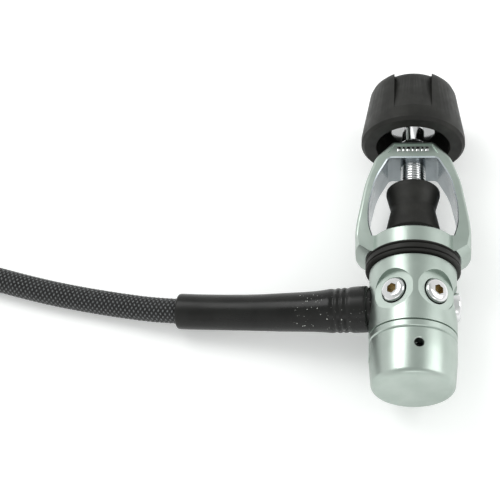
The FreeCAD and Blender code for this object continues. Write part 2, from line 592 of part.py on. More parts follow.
def make_knob():
    body = new_body("knob_grip")
    spin(body, "grip_blank", [
        ("knob_mouth_radius", "knob_rim"), ("knob_radius - knob_edge_round", "knob_rim"),
        ("knob_radius", "knob_rim + knob_edge_round"), ("knob_radius", "knob_rim + 4"),
        ("knob_top_radius + shoulder_round * 0.28", "knob_top + lobe_rise - shoulder_round * 1.35"),
        ("knob_top_radius", "knob_top + lobe_rise - shoulder_round * 0.72"),
        ("knob_top_radius - shoulder_round * 0.45", "knob_top + lobe_rise - shoulder_round * 0.25"),
        ("knob_top_radius - shoulder_round", "knob_top + lobe_rise"), ("dish_radius + 2", "knob_top + lobe_rise - 0.2"),
        ("dish_radius", "knob_top - 0.6"), ("0", "knob_top - 0.6"), ("0", "hub_end + 0.1"), ("hub_radius + 0.03", "hub_end + 0.1"),
        ("hub_radius + 0.03", "hub_flange_end + 0.05"), ("knob_boss_radius", "hub_flange_end + 0.05"),
        ("knob_boss_radius", "hollow_end"), ("knob_hollow_radius", "hollow_end")])
    channel = pad(body, "channel", [
        ("knob_top + lobe_rise + 2", "knob_radius + 4"), ("panel_foot", "knob_radius + 4"),
        ("panel_foot", "panel_foot_radius - 1.6"), ("knob_top", "panel_top_radius - 2.6"), ("knob_top", "dish_radius - 1"),
        ("knob_top + lobe_rise + 2", "dish_radius - 1")], "YZ_Plane", "panel_width", cut=True, both=True)
    around(body, channel, 3)
    spin(body, "panels", [
        ("panel_foot_radius - 2", "panel_foot"), ("panel_foot_radius", "panel_foot"),
        ("panel_top_radius + 0.5", "knob_top - 1.6"), ("panel_top_radius - 0.5", "knob_top"),
        ("panel_top_radius - 3.2", "knob_top")])
    return on_axis(body)


def make_dust_cap():
    body = new_body("dust_cap")
    seat = "screw_tip - dust_cap_seat"
    spin(body, "dust_cap_blank", [
        ("0", seat), ("screw_radius + 0.7", seat), ("screw_radius + 0.7", "dust_cap_end - 1.2"),
        ("screw_radius + 1.9", "dust_cap_end"), ("dust_cap_top_radius - 0.8", "dust_cap_end"),
        ("dust_cap_top_radius", "dust_cap_end - 0.8"), ("dust_cap_top_radius", "dust_cap_end - 2.4"),
        ("dust_cap_waist_radius", "dust_cap_waist + 0.5"), ("dust_cap_waist_radius", "dust_cap_waist - 0.5"),
        ("dust_cap_foot_radius", "dust_cap_start + 2.6"),
        ("dust_cap_foot_radius", "dust_cap_start + 0.8"), ("dust_cap_foot_radius - 0.8", "dust_cap_start"),
        ("nose_radius + dust_cap_clearance", "dust_cap_start"),
        ("nose_radius + dust_cap_clearance", "clamp_face + dust_cap_clearance"),
        ("0", "clamp_face + dust_cap_clearance")])
    return on_axis(body)


# ------------------------------------------------------------------ plugs and their seals
def make_plug(name, angle, kind):
    """A port plug with a domed head and a hexagon socket."""
    body = new_body(name)
    head = "plug_head" if kind == "low" else "high_head"
    top = head + "_top"
    thread = "%s_thread_radius - thread_gap" % kind
    neck = kind + "_neck_radius"
    spin(body, name + "_turned", [
        ("0", "port_bottom + 0.3"), (thread + " - 0.7", "port_bottom + 0.3"), (thread, "port_bottom + 1"),
        (thread, "seal_seat - 0.4"), (neck, "seal_seat"), (neck, "seal_seat + seal_height"),
        (head + "_radius", "seal_seat + seal_height"), (head + "_radius", top + " - plug_crown"),
        (head + "_radius - plug_crown * 0.18", top + " - plug_crown * 0.62"),
        (head + "_radius - plug_crown * 0.62", top + " - plug_crown * 0.25"),
        (head + "_radius - plug_crown * 1.25", top + " - plug_crown * 0.06"),
        (head + "_radius - plug_crown * 1.9", top), ("0", top)], plane="YZ_Plane")
    pad(body, name + "_socket", hexagon("socket_across_flats"), "XY_Plane", "socket_depth", cut=True,
        offset=("0", "0", top))
    return in_port(body, angle, keep=False)


def make_plug_seal(name, angle, kind):
    body = new_body(name)
    spin(body, name + "_ring", None,
         ring=(kind + "_neck_radius + small_seal + 0.16", "seal_seat + seal_height / 2", "small_seal"),
         plane="YZ_Plane")
    return in_port(body, angle, keep=False)


def make_plugs():
    for kind in ("low", "high"):
        ports = [port for port, (_, made) in PORTS.items() if made == kind and port != "hose"]
        group(kind + "_pressure_plugs",
              [make_plug("%s_%s_plug" % (port, kind), PORTS[port][0], kind) for port in ports])
        group(kind + "_pressure_o_rings",
              [make_plug_seal("%s_%s_seal" % (port, kind), PORTS[port][0], kind) for port in ports])


# ------------------------------------------------------------------ hose end at the first stage
def make_fitting():
    """The hose's threaded end: thread, hexagon and a barb inside the hose."""
    body = new_body("hose_fitting")
    hex_start = "spot_face_height + 0.05"
    hex_end = "spot_face_height + fitting_hex_length"
    spin(body, "fitting_turned", [
        ("bore_radius", "port_bottom + 0.3"), ("low_thread_radius - thread_gap", "port_bottom + 0.3"),
        ("low_thread_radius - thread_gap", "seal_seat - 0.4"), ("low_neck_radius", "seal_seat"),
        ("low_neck_radius", "seal_seat + seal_height"), ("plug_head_radius", "seal_seat + seal_height"),
        ("plug_head_radius", hex_start), ("fitting_hex_radius - 1.2", hex_start),
        ("fitting_hex_radius - 1.2", hex_end), ("barb_radius", hex_end), ("barb_radius", hex_end + " + barb_length"),
        ("bore_radius", hex_end + " + barb_length")], plane="YZ_Plane")
    pad(body, "fitting_hex", hexagon("fitting_hex_radius * sqrt(3)"), "XY_Plane", "fitting_hex_length - 1.05",
        offset=("0", "0", "spot_face_height + 0.55"))
    spin(body, "fitting_bore", [
        ("0", "port_bottom"), ("bore_radius", "port_bottom"), ("bore_radius", hex_end + " + barb_length + 1"),
        ("0", hex_end + " + barb_length + 1")], plane="YZ_Plane", cut=True)
    return in_port(body, "hose_angle")


def make_fitting_seal():
    body = make_plug_seal("fitting_o_ring", "hose_angle", "low")
    NODES.append(body)


def make_ferrule():
    body = new_body("hose_ferrule")
    start = "spot_face_height + fitting_hex_length + 0.3"
    end = "spot_face_height + fitting_hex_length + ferrule_length"
    spin(body, "ferrule", [
        ("barb_radius + 0.05", start), ("ferrule_radius", start), ("ferrule_radius", end),
        ("hose_radius + 0.05", end), ("hose_radius + 0.05", start + " + 1.6"), ("barb_radius + 0.05", start + " + 1.6")],
        plane="YZ_Plane")
    return in_port(body, "hose_angle")


def make_sleeve():
    """The rubber protector over the fitting and the start of the hose."""
    body = new_body("hose_sleeve")
    start = "spot_face_height + sleeve_start"
    end = start + " + sleeve_length"
    wide = "fitting_hex_radius + sleeve_slack"
    middle = "spot_face_height + fitting_hex_length"
    points = [(wide, start), ("sleeve_lip_radius", start), ("sleeve_lip_radius", start + " + sleeve_lip_length"),
              ("sleeve_body_radius", start + " + sleeve_lip_length"), ("sleeve_body_radius", start + " + rib_start")]
    for rib in range(3):
        points += [("sleeve_rib_radius - 0.5", start + " + rib_start + %.1f" % (0.6 + 2.2 * rib)),
                   ("sleeve_rib_radius", start + " + rib_start + %.1f" % (1.7 + 2.2 * rib))]
    points += [("sleeve_rib_radius - 0.5", start + " + rib_start + 7.8"), ("sleeve_mid_radius", start + " + 30"),
               ("sleeve_end_radius", start + " + 54"), ("sleeve_end_radius", end),
               ("hose_radius + hose_slack", end), ("hose_radius + hose_slack", middle + " + ferrule_length + 1"),
               ("ferrule_radius + sleeve_slack", middle + " + ferrule_length + 1"),
               ("ferrule_radius + sleeve_slack", middle + " + 0.2"), (wide, middle + " + 0.2")]
    spin(body, "sleeve", points, plane="YZ_Plane")
    return in_port(body, "hose_angle")


# ------------------------------------------------------------------ hose, coil and far end
def port_point(reach):
    """The point at this distance from the axis along the hose's port."""
    angle = math.radians(value("hose_angle"))
    return FreeCAD.Vector(reach * math.sin(angle), value("shoulder_y - port_drop"),
                          value("axis_height") + reach * math.cos(angle))


# Inside the sleeve the hose follows its port: distance from the axis, then how far it strays in y and z.
LEAD = [(66.144, 0.10, -0.0446), (105.022, 0.55, -0.084)]
# Its route on from the sleeve to the coil, in millimetres in the part's frame.
ROUTE = [
    (-128.0, -28.6, 6.2), (-152.0, -22.2, 5.6), (-177.0, -15.9, 5.6), (-203.0, -9.2, 5.6), (-229.0, -4.8, 6.3),
]


def rounded_path(points):
    """Straight runs joined by tangent arcs, each as large as its two runs allow."""
    edges = []
    radii = []
    here = points[0]
    for before, corner, after in zip(points, points[1:], points[2:]):
        inward = (corner - before).normalize()
        outward = (after - corner).normalize()
        turn = inward.getAngle(outward)
        shorter = min((corner - before).Length, (after - corner).Length)
        radius = 0.45 * shorter / math.tan(turn / 2)
        trim = 0.45 * shorter
        start = corner - inward * trim
        end = corner + outward * trim
        towards = (outward - inward).normalize()
        sag = radius / math.cos(turn / 2) - radius
        edges.append(Part.LineSegment(here, start).toShape())
        edges.append(Part.Arc(start, corner + towards * sag, end).toShape())
        radii.append(radius)
        here = end
    edges.append(Part.LineSegment(here, points[-1]).toShape())
    return Part.Wire(edges), radii


def make_hose():
    """The hose from inside its ferrule to the coil."""
    start = value("spot_face_height + fitting_hex_length") + 2.0
    points = [port_point(start)] + [port_point(reach) + FreeCAD.Vector(0, *stray) for reach, *stray in LEAD]
    points += [FreeCAD.Vector(*place) for place in ROUTE]
    path, radii = rounded_path(points)
    print("hose arc radii, mm:", ", ".join("%.0f" % radius for radius in radii))
    radius = value("hose_radius")
    bore = value("hose_bore_radius")
    along = (points[1] - points[0]).normalize()
    outer = path.makePipeShell([Part.Wire(Part.makeCircle(radius, points[0], along))], True, True)
    depth = value("spot_face_height + fitting_hex_length + barb_length") - start
    inner = Part.makeCylinder(bore, depth + 0.5, points[0], along)
    solid = outer.cut(inner)
    wanted = math.pi * radius ** 2 * path.Length
    print("hose length %.1f mm, volume over section times length %.4f" % (path.Length, outer.Volume / wanted))
    hose = doc.addObject("Part::Feature", "hose")
    hose.Label = "hose"
    hose.Shape = solid
    NODES.append(hose)


def make_coil():
    """The closed outer shape of the wound rest of the hose, lying on its ties."""
    coil = doc.addObject("Part::Cut", "hose_coil")
    coil.Label = "hose_coil"
    outer = doc.addObject("Part::Cylinder", "coil_outside")
    inner = doc.addObject("Part::Cylinder", "coil_inside")
    for drum, radius in ((outer, "coil_outer_radius"), (inner, "coil_inner_radius")):
        bind(drum, "Radius", radius)
        bind(drum, "Height", "hose_radius * 2")
        bind(drum, "Placement.Base.x", "coil_x")
        bind(drum, "Placement.Base.y", "coil_y")
        bind(drum, "Placement.Base.z", "tie_wall")
    coil.Base = outer
    coil.Tool = inner
    NODES.append(coil)


def make_ties():
    """Two soft straps round the coil's turns."""
    ties = []
    for letter in "ab":
        angle = "tie_angle_" + letter
        pieces = []
        for part_name, gap in (("strap", "tie_wall"), ("strap_inside", "0.02")):
            box = doc.addObject("Part::Box", "%s_%s" % (part_name, letter))
            bind(box, "Length", "coil_outer_radius - coil_inner_radius + tie_slack + 2 * %s" % gap)
            bind(box, "Width", "tie_width" if part_name == "strap" else "tie_width + 2")
            bind(box, "Height", "hose_radius * 2 + 2 * %s" % gap)
            pieces.append((box, gap))
        frame = FreeCAD.Placement(FreeCAD.Vector(0, 0, 0), FreeCAD.Rotation(FreeCAD.Vector(0, 0, 1), value(angle)))
        for box, gap in pieces:
            box.Placement = frame
            inset = "(coil_inner_radius - tie_slack - %s)" % gap
            half = "tie_width / 2" if box.Name.startswith("strap_" + letter) else "(tie_width / 2 + 1)"
            bind(box, "Placement.Base.x", "coil_x + %s * cos(%s) + %s * sin(%s)" % (inset, angle, half, angle))
            bind(box, "Placement.Base.y", "coil_y + %s * sin(%s) - %s * cos(%s)" % (inset, angle, half, angle))
            bind(box, "Placement.Base.z", "tie_wall - %s" % gap)
            bind(box, "Placement.Rotation.Angle", angle)
        tie = doc.addObject("Part::Cut", "tie_" + letter)
        tie.Base = pieces[0][0]
        tie.Tool = pieces[1][0]
        ties.append(tie)
    doc.recompute()
    group("coil_ties", ties)


def at_far_end(body):
    """Place a piece drawn about its own Y axis on the hose's far end, beside the coil."""
    bind(body, "Placement.Base.x", "coil_x - coil_outer_radius + hose_radius + 0.4")
    bind(body, "Placement.Base.y", "coil_y + far_start")
    bind(body, "Placement.Base.z", "far_axis_height")
    NODES.append(body)
    return body


def make_tail():
    """The straight end of the hose, from the coil to its far ferrule."""
    tail = new_body("hose_tail")
    spin(tail, "tail", [
        ("0", "-ferrule_length - tail_length"), ("hose_radius", "-ferrule_length - tail_length"),
        ("hose_radius", "-ferrule_length"), ("0", "-ferrule_length")])
    at_far_end(tail)


def make_far_end():
    ferrule = new_body("far_ferrule")
    spin(ferrule, "far_ferrule_turned", [
        ("0", "-ferrule_length"), ("hose_radius", "-ferrule_length"), ("ferrule_radius", "-ferrule_length + 1"),
        ("ferrule_radius", "-1"), ("ferrule_radius - 1", "0"), ("nipple_radius - 1", "0"), ("nipple_radius - 1", "-12"),
        ("0", "-12")])
    at_far_end(ferrule)
    nipple = new_body("hose_nipple")
    collar = "nipple_length - 5"
    spin(nipple, "nipple_turned", [
        ("bore_radius", "-11.9"), ("nipple_radius - 1.05", "-11.9"), ("nipple_radius - 1.05", "0.1"),
        ("nipple_radius - 0.2", "0.1"), ("nipple_radius - 0.2", collar), ("far_collar_radius - 0.3", collar),
        ("far_collar_radius - 0.3", collar + " + far_collar_thickness"),
        ("nipple_radius", collar + " + far_collar_thickness"), ("nipple_radius", "nipple_length - 1.9"),
        ("nipple_radius - 1", "nipple_length - 1.9"), ("nipple_radius - 1", "nipple_length - 0.5"),
        ("nipple_radius", "nipple_length - 0.5"), ("nipple_radius", "nipple_length"), ("bore_radius", "nipple_length")])
    at_far_end(nipple)
    ring = new_body("nipple_o_ring")
    spin(ring, "nipple_ring", None, ring=("nipple_radius - 0.28", "nipple_length - 1.2", "stem_seal"))
    at_far_end(ring)


def make_swivel_nut():
    body = new_body("swivel_nut")
    back = "nipple_length - 8.8"
    front = back + " + nut_length"
    pad(body, "nut_hex", hexagon("nut_across_flats"), "XZ_Plane", "nut_length", flip=True,
                offset=("0", "0", "-(%s)" % back))
    spin(body, "nut_bore", [
        ("0", back + " - 1"), ("nut_neck_radius", back + " - 1"), ("nut_neck_radius", back + " + 3.5"),
        ("nut_relief_radius", back + " + 3.5"), ("nut_relief_radius", front + " - nut_entry"),
        ("nut_thread_radius", front + " - nut_entry"), ("nut_thread_radius", front + " + 1"), ("0", front + " + 1")],
        cut=True)
    spin(body, "nut_corners", [
        ("nut_across_flats / 2", front + " + 0.1"), ("nut_across_flats / 2 + 2", front + " - 1.1"),
        ("nut_across_flats / 2 + 2", front + " + 0.1")], cut=True)
    at_far_end(body)


# ------------------------------------------------------------------ build, check and write
make_body()
make_bumper_ring()
make_end_cap()
make_yoke()
make_retainer()
seal("retainer_o_ring", "inlet_thread_radius - 0.72", "-4.1", "inlet_seal * 0.85")
make_inlet_filter()
make_snap_ring()
make_orifice()
make_piston()
make_piston_seat()
seal("piston_head_o_ring", "piston_bore_radius - 0.97", "(head_bottom + head_top) / 2", "head_seal")
seal("piston_stem_o_ring", "stem_radius + 0.73", "low_bottom - 2", "stem_seal")
make_spring()
make_shim()
make_screw()
make_hub()
make_pin()
make_screw_ring()
make_knob()
make_dust_cap()
make_plugs()
make_fitting()
make_fitting_seal()
make_ferrule()
make_sleeve()
make_hose()
make_coil()
make_ties()
make_tail()
make_far_end()
make_swivel_nut()
doc.recompute()

faults = [item.Name for item in doc.Objects if {"Invalid", "Error"} & set(item.State)]
faults += [node.Label for node in NODES if node.Shape.isNull() or not node.Shape.isValid()]
if faults:
    raise RuntimeError("these did not build: " + ", ".join(faults))
os.makedirs("parts", exist_ok=True)
for node in NODES:
    node.Shape.exportStep("parts/%s.step" % node.Label)
print("%d nodes written" % len(NODES))
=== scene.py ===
"""A yoke-clamp regulator first stage lying on a pale table, with its braided hose running off to the left."""
import json
import math

import bmesh
import bpy
import numpy as np
from mathutils import Matrix, Vector

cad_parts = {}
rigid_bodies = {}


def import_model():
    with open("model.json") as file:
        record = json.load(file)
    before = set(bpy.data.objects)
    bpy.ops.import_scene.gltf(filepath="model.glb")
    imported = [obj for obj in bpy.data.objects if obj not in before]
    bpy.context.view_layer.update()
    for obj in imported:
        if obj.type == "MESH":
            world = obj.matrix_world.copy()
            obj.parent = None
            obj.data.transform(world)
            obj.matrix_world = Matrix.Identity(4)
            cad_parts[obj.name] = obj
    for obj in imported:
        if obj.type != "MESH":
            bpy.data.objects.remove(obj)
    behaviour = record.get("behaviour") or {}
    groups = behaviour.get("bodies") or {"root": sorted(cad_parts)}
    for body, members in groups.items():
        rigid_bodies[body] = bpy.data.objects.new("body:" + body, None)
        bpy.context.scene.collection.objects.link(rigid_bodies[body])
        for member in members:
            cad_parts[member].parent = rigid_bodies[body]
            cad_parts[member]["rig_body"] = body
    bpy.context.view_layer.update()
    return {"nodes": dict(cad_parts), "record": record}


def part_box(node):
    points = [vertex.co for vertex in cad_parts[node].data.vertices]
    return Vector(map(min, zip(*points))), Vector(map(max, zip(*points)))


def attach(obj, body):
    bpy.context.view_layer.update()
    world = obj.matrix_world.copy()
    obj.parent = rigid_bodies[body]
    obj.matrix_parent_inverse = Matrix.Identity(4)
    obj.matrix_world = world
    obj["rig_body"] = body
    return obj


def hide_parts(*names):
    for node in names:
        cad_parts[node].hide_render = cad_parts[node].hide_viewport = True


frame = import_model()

MM = 0.001
FULL_TURN = 2 * math.pi

# ------------------------------------------------------------------ where the frame puts things
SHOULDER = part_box("yoke")[0].y
KNOB_LOW, KNOB_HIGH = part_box("knob_grip")
AXIS_HEIGHT = (KNOB_LOW.z + KNOB_HIGH.z) / 2
# millimetres: the port plane below the yoke's shoulder, and where the plugs' sockets stop above the axis
PORT_DROP = 21.3
SOCKET_TOP = {"low_pressure_plugs": 18.3, "high_pressure_plugs": 19.9}
SOCKET_RADIUS = 2.35
# ports' angles from straight up, in degrees
LOW_PORTS, HIGH_PORTS = (-29.0, 35.5, 151.0), (94.0, -152.0)
# millimetres: the label's place along the axis, and its recess floor above the axis
LABEL_STATION, RECESS_HEIGHT = 52.1, 9.2
ALONG = Vector((0, 1, 0))


def on_axis(station):
    """The point on the first stage's axis this many millimetres from the yoke's shoulder."""
    return Vector((0, SHOULDER + station * MM, AXIS_HEIGHT))


# ------------------------------------------------------------------ camera, light and floor
def make_camera():
    """Looks down on the first stage from the side, turned left to take in the hose."""
    focus = Vector((0, -0.00865, 0.0231))
    distance, tilt, yaw = 0.693, math.radians(30.2), math.radians(5.82)
    ahead = Vector((0, math.sin(tilt), -math.cos(tilt)))
    up = Vector((0, math.cos(tilt), math.sin(tilt)))
    right = Vector((1, 0, 0))
    place = focus - ahead * distance
    view = ahead * math.cos(yaw) - right * math.sin(yaw)
    side = right * math.cos(yaw) + ahead * math.sin(yaw)
    data = bpy.data.cameras.new("camera")
    data.sensor_width = 36.0
    data.lens = 115.2
    data.clip_end = 20.0
    camera = bpy.data.objects.new("camera", data)
    turn = Matrix((side, up, -view)).transposed().to_4x4()
    camera.matrix_world = Matrix.Translation(place) @ turn
    bpy.context.scene.collection.objects.link(camera)
    bpy.context.scene.camera = camera


def soft_light(name, place, aim, size, power, tint=(1, 1, 1)):
    data = bpy.data.lights.new(name, "AREA")
    data.shape = "RECTANGLE"
    data.size, data.size_y = size
    data.energy = power
    data.color = tint
    light = bpy.data.objects.new(name, data)
    light.location = place
    light.rotation_euler = (Vector(aim) - Vector(place)).to_track_quat("-Z", "Y").to_euler()
    bpy.context.scene.collection.objects.link(light)


def make_studio():
    soft_light("key_softbox", (-0.50, 0.30, 0.75), (0, 0, 0), (0.5, 0.5), 2.6)
    soft_light("right_softbox", (0.70, 0.1, 0.50), (0, 0, 0.02), (0.4, 0.6), 1.6)
    soft_light("front_strip", (0.1, -0.9, 0.5), (0, -0.03, 0.02), (0.8, 0.25), 0.7)
    world = bpy.data.worlds.new("studio")
    world.use_nodes = True
    tree = world.node_tree
    back = tree.nodes["Background"]
    coords = tree.nodes.new("ShaderNodeTexCoord")
    split = tree.nodes.new("ShaderNodeSeparateXYZ")
    ramp = tree.nodes.new("ShaderNodeValToRGB")
    tree.links.new(coords.outputs["Generated"], split.inputs[0])
    tree.links.new(split.outputs["Z"], ramp.inputs[0])
    tree.links.new(ramp.outputs[0], back.inputs["Color"])
    stops = ramp.color_ramp.elements
    stops[0].position, stops[0].color = 0.0, (1.0, 1.0, 1.0, 1)
    stops[1].position, stops[1].color = 1.0, (0.62, 0.64, 0.63, 1)
    middle = stops.new(0.55)
    middle.color = (0.88, 0.90, 0.885, 1)
    upper = stops.new(0.80)
    upper.color = (0.62, 0.65, 0.63, 1)
    back.inputs["Strength"].default_value = 1.0
    bpy.context.scene.world = world
    bpy.context.scene.view_settings.view_transform = "Standard"


def make_floor():
    shape = bmesh.new()
    bmesh.ops.create_grid(shape, x_segments=1, y_segments=1, size=4.0)
    mesh = bpy.data.meshes.new("table_top")
    shape.to_mesh(mesh)
    shape.free()
    floor = bpy.data.objects.new("table_top", mesh)
    bpy.context.scene.collection.objects.link(floor)
    paper = bpy.data.materials.new("white_paper")
    paper.use_nodes = True
    surface = paper.node_tree.nodes["Principled BSDF"]
    surface.inputs["Base Color"].default_value = (0.95, 0.95, 0.95, 1)
    surface.inputs["Roughness"].default_value = 0.9
    surface.inputs["Emission Color"].default_value = (1.0, 1.0, 1.0, 1)
    surface.inputs["Emission Strength"].default_value = 0.2
    mesh.materials.append(paper)


# ------------------------------------------------------------------ materials
class Finish:
    """A node material under construction, with short ways to add the nodes used here."""

    def __init__(self, name, colour, roughness, metallic=0.0, specular=0.5):
        self.material = bpy.data.materials.new(name)
        self.material.use_nodes = True
        self.tree = self.material.node_tree
        self.shader = self.tree.nodes["Principled BSDF"]
        self.shader.inputs["Base Color"].default_value = (*colour, 1)
        self.shader.inputs["Roughness"].default_value = roughness
        self.shader.inputs["Metallic"].default_value = metallic
        self.shader.inputs["Specular IOR Level"].default_value = specular
        self.coords = self.add("ShaderNodeTexCoord")

    def add(self, kind, **settings):
        node = self.tree.nodes.new(kind)
        for name, setting in settings.items():
            setattr(node, name, setting)
        return node

    def link(self, output, target):
        self.tree.links.new(output, target)

    def noise(self, scale, detail=3.0, stretch=(1, 1, 1)):
        """Cloudy noise over the piece, scale features to a metre, stretched along an axis if asked."""
        mapping = self.add("ShaderNodeMapping")
        mapping.inputs["Scale"].default_value = stretch
        texture = self.add("ShaderNodeTexNoise")
        texture.inputs["Scale"].default_value = scale
        texture.inputs["Detail"].default_value = detail
        self.link(self.coords.outputs["Object"], mapping.inputs["Vector"])
        self.link(mapping.outputs[0], texture.inputs["Vector"])
        return texture.outputs["Fac"]

    def ramp(self, factor, low, high, start=0.3, end=0.7):
        """A colour or grey ramp between two ends."""
        node = self.add("ShaderNodeValToRGB")
        stops = node.color_ramp.elements
        stops[0].position, stops[1].position = start, end
        for stop, tone in zip(stops, (low, high)):
            stop.color = (*tone, 1) if isinstance(tone, tuple) else (tone, tone, tone, 1)
        self.link(factor, node.inputs[0])
        return node.outputs[0]

    def math(self, operation, first, second=0.0, third=None):
        node = self.add("ShaderNodeMath", operation=operation)
        for socket, source in zip(node.inputs, (first, second, third)):
            if source is None:
                continue
            if isinstance(source, (int, float)):
                socket.default_value = source
            else:
                self.link(source, socket)
        return node.outputs[0]

    def mix(self, factor, first, second):
        """Blend two colour outputs."""
        node = self.add("ShaderNodeMix", data_type="RGBA")
        self.link(factor, node.inputs[0])
        self.link(first, node.inputs[6])
        self.link(second, node.inputs[7])
        return node.outputs[2]

    def bump(self, height, depth, strength=1.0):
        """Raise the surface by height times depth, in metres."""
        node = self.add("ShaderNodeBump")
        node.inputs["Strength"].default_value = strength
        node.inputs["Distance"].default_value = depth
        self.link(height, node.inputs["Height"])
        self.link(node.outputs[0], self.shader.inputs["Normal"])

    def colour(self, output):
        self.link(output, self.shader.inputs["Base Color"])

    def roughness(self, output):
        self.link(output, self.shader.inputs["Roughness"])


def satin_chrome():
    """Pearl chrome: a blasted surface under bright plate, with faint handling marks; its slight green tint is a painted
    reflection of a grey-green surround.
    """
    finish = Finish("satin_chrome", (0.60, 0.63, 0.61), 0.3, metallic=1.0)
    clouds = finish.noise(90, 4)
    # painted reflection: the green lean of these colours stands in for a grey-green surround
    finish.colour(finish.ramp(clouds, (0.385, 0.445, 0.405), (0.45, 0.51, 0.47)))
    finish.roughness(finish.ramp(finish.noise(160, 5), 0.30, 0.37))
    finish.bump(finish.noise(5200, 2), 0.00002, 0.5)
    return finish.material


def polished_chrome():
    finish = Finish("polished_chrome", (0.80, 0.80, 0.81), 0.08, metallic=1.0)
    finish.colour(finish.ramp(finish.noise(60), (0.68, 0.685, 0.69), (0.76, 0.76, 0.765)))
    finish.roughness(finish.ramp(finish.noise(240, 4), 0.05, 0.14))
    finish.bump(finish.noise(900, 2), 0.00001, 0.3)
    return finish.material


def shaded_chrome():
    """Bright plate on ground walls, duller than the polished pieces, its cooler and slightly darker colour painted
    shade for the walls inside the yoke's window.
    """
    finish = Finish("shaded_chrome", (0.40, 0.44, 0.46), 0.2, metallic=1.0)
    # painted shade: these colours are cooler and a little darker than the satin chrome outside
    finish.colour(finish.ramp(finish.noise(80, 4), (0.34, 0.38, 0.40), (0.46, 0.50, 0.52)))
    finish.roughness(finish.ramp(finish.noise(200, 4), 0.14, 0.26))
    finish.bump(finish.noise(800, 2), 0.00001, 0.4)
    return finish.material


def bare_metal(name, low, high, smooth, rough):
    """Turned or sintered metal with its own grain."""
    finish = Finish(name, low, rough, metallic=1.0)
    finish.colour(finish.ramp(finish.noise(300, 4), low, high))
    finish.roughness(finish.ramp(finish.noise(700, 4), smooth, rough))
    finish.bump(finish.noise(2600, 3), 0.00003, 0.4)
    return finish.material


def moulded_rubber(name, low, high, smooth, rough, grain):
    """Black rubber with a fine mould texture, dusty in places."""
    finish = Finish(name, low, rough, specular=0.24)
    finish.colour(finish.ramp(finish.noise(120, 5), low, high, 0.35, 0.75))
    finish.roughness(finish.ramp(finish.noise(220, 4), smooth, rough))
    finish.bump(finish.noise(grain, 3), 0.00004, 0.6)
    return finish.material


def scuffed_sleeve():
    """Smooth black rubber with broad soft reflections and a scatter of pale scuffs."""
    finish = Finish("sleeve_rubber", (0.008, 0.008, 0.007), 0.28, specular=0.27)
    base = finish.ramp(finish.noise(90, 5), (0.004, 0.004, 0.0035), (0.012, 0.012, 0.011), 0.35, 0.75)
    patches = finish.ramp(finish.noise(34, 2), 0.0, 1.0, 0.54, 0.60)
    specks = finish.ramp(finish.noise(1150, 1), 0.0, 1.0, 0.715, 0.745)
    scuffs = finish.math("MULTIPLY", patches, specks)
    finish.colour(finish.mix(scuffs, base, finish.ramp(scuffs, (0.4, 0.4, 0.38), (0.55, 0.56, 0.53))))
    finish.roughness(finish.ramp(finish.noise(160, 4, (0.2, 1, 1)), 0.20, 0.38))
    finish.bump(finish.noise(700, 3), 0.00003, 0.5)
    return finish.material


def plain_polymer(name, low, high):
    finish = Finish(name, low, 0.4)
    finish.colour(finish.ramp(finish.noise(200, 3), low, high))
    finish.roughness(finish.ramp(finish.noise(400, 3), 0.34, 0.46))
    finish.bump(finish.noise(1500, 2), 0.00001, 0.4)
    return finish.material


def strap_weave():
    """Woven hook-and-loop strap: two crossed sets of threads."""
    finish = Finish("strap_weave", (0.03, 0.03, 0.03), 0.8)
    split = finish.add("ShaderNodeSeparateXYZ")
    finish.link(finish.coords.outputs["Object"], split.inputs[0])
    across = finish.math("SINE", finish.math("MULTIPLY", split.outputs["X"], 9000))
    along = finish.math("SINE", finish.math("MULTIPLY", split.outputs["Y"], 9000))
    threads = finish.math("MULTIPLY_ADD", finish.math("MULTIPLY", across, along), 0.5, 0.5)
    finish.colour(finish.ramp(threads, (0.016, 0.016, 0.017), (0.06, 0.06, 0.062), 0.1, 0.9))
    finish.roughness(finish.ramp(finish.noise(500), 0.7, 0.9))
    finish.bump(threads, 0.00015, 0.8)
    return finish.material


STRANDS = 12
BRAID_PITCH = 24.6 * MM
STRAND_CROWN = 0.7


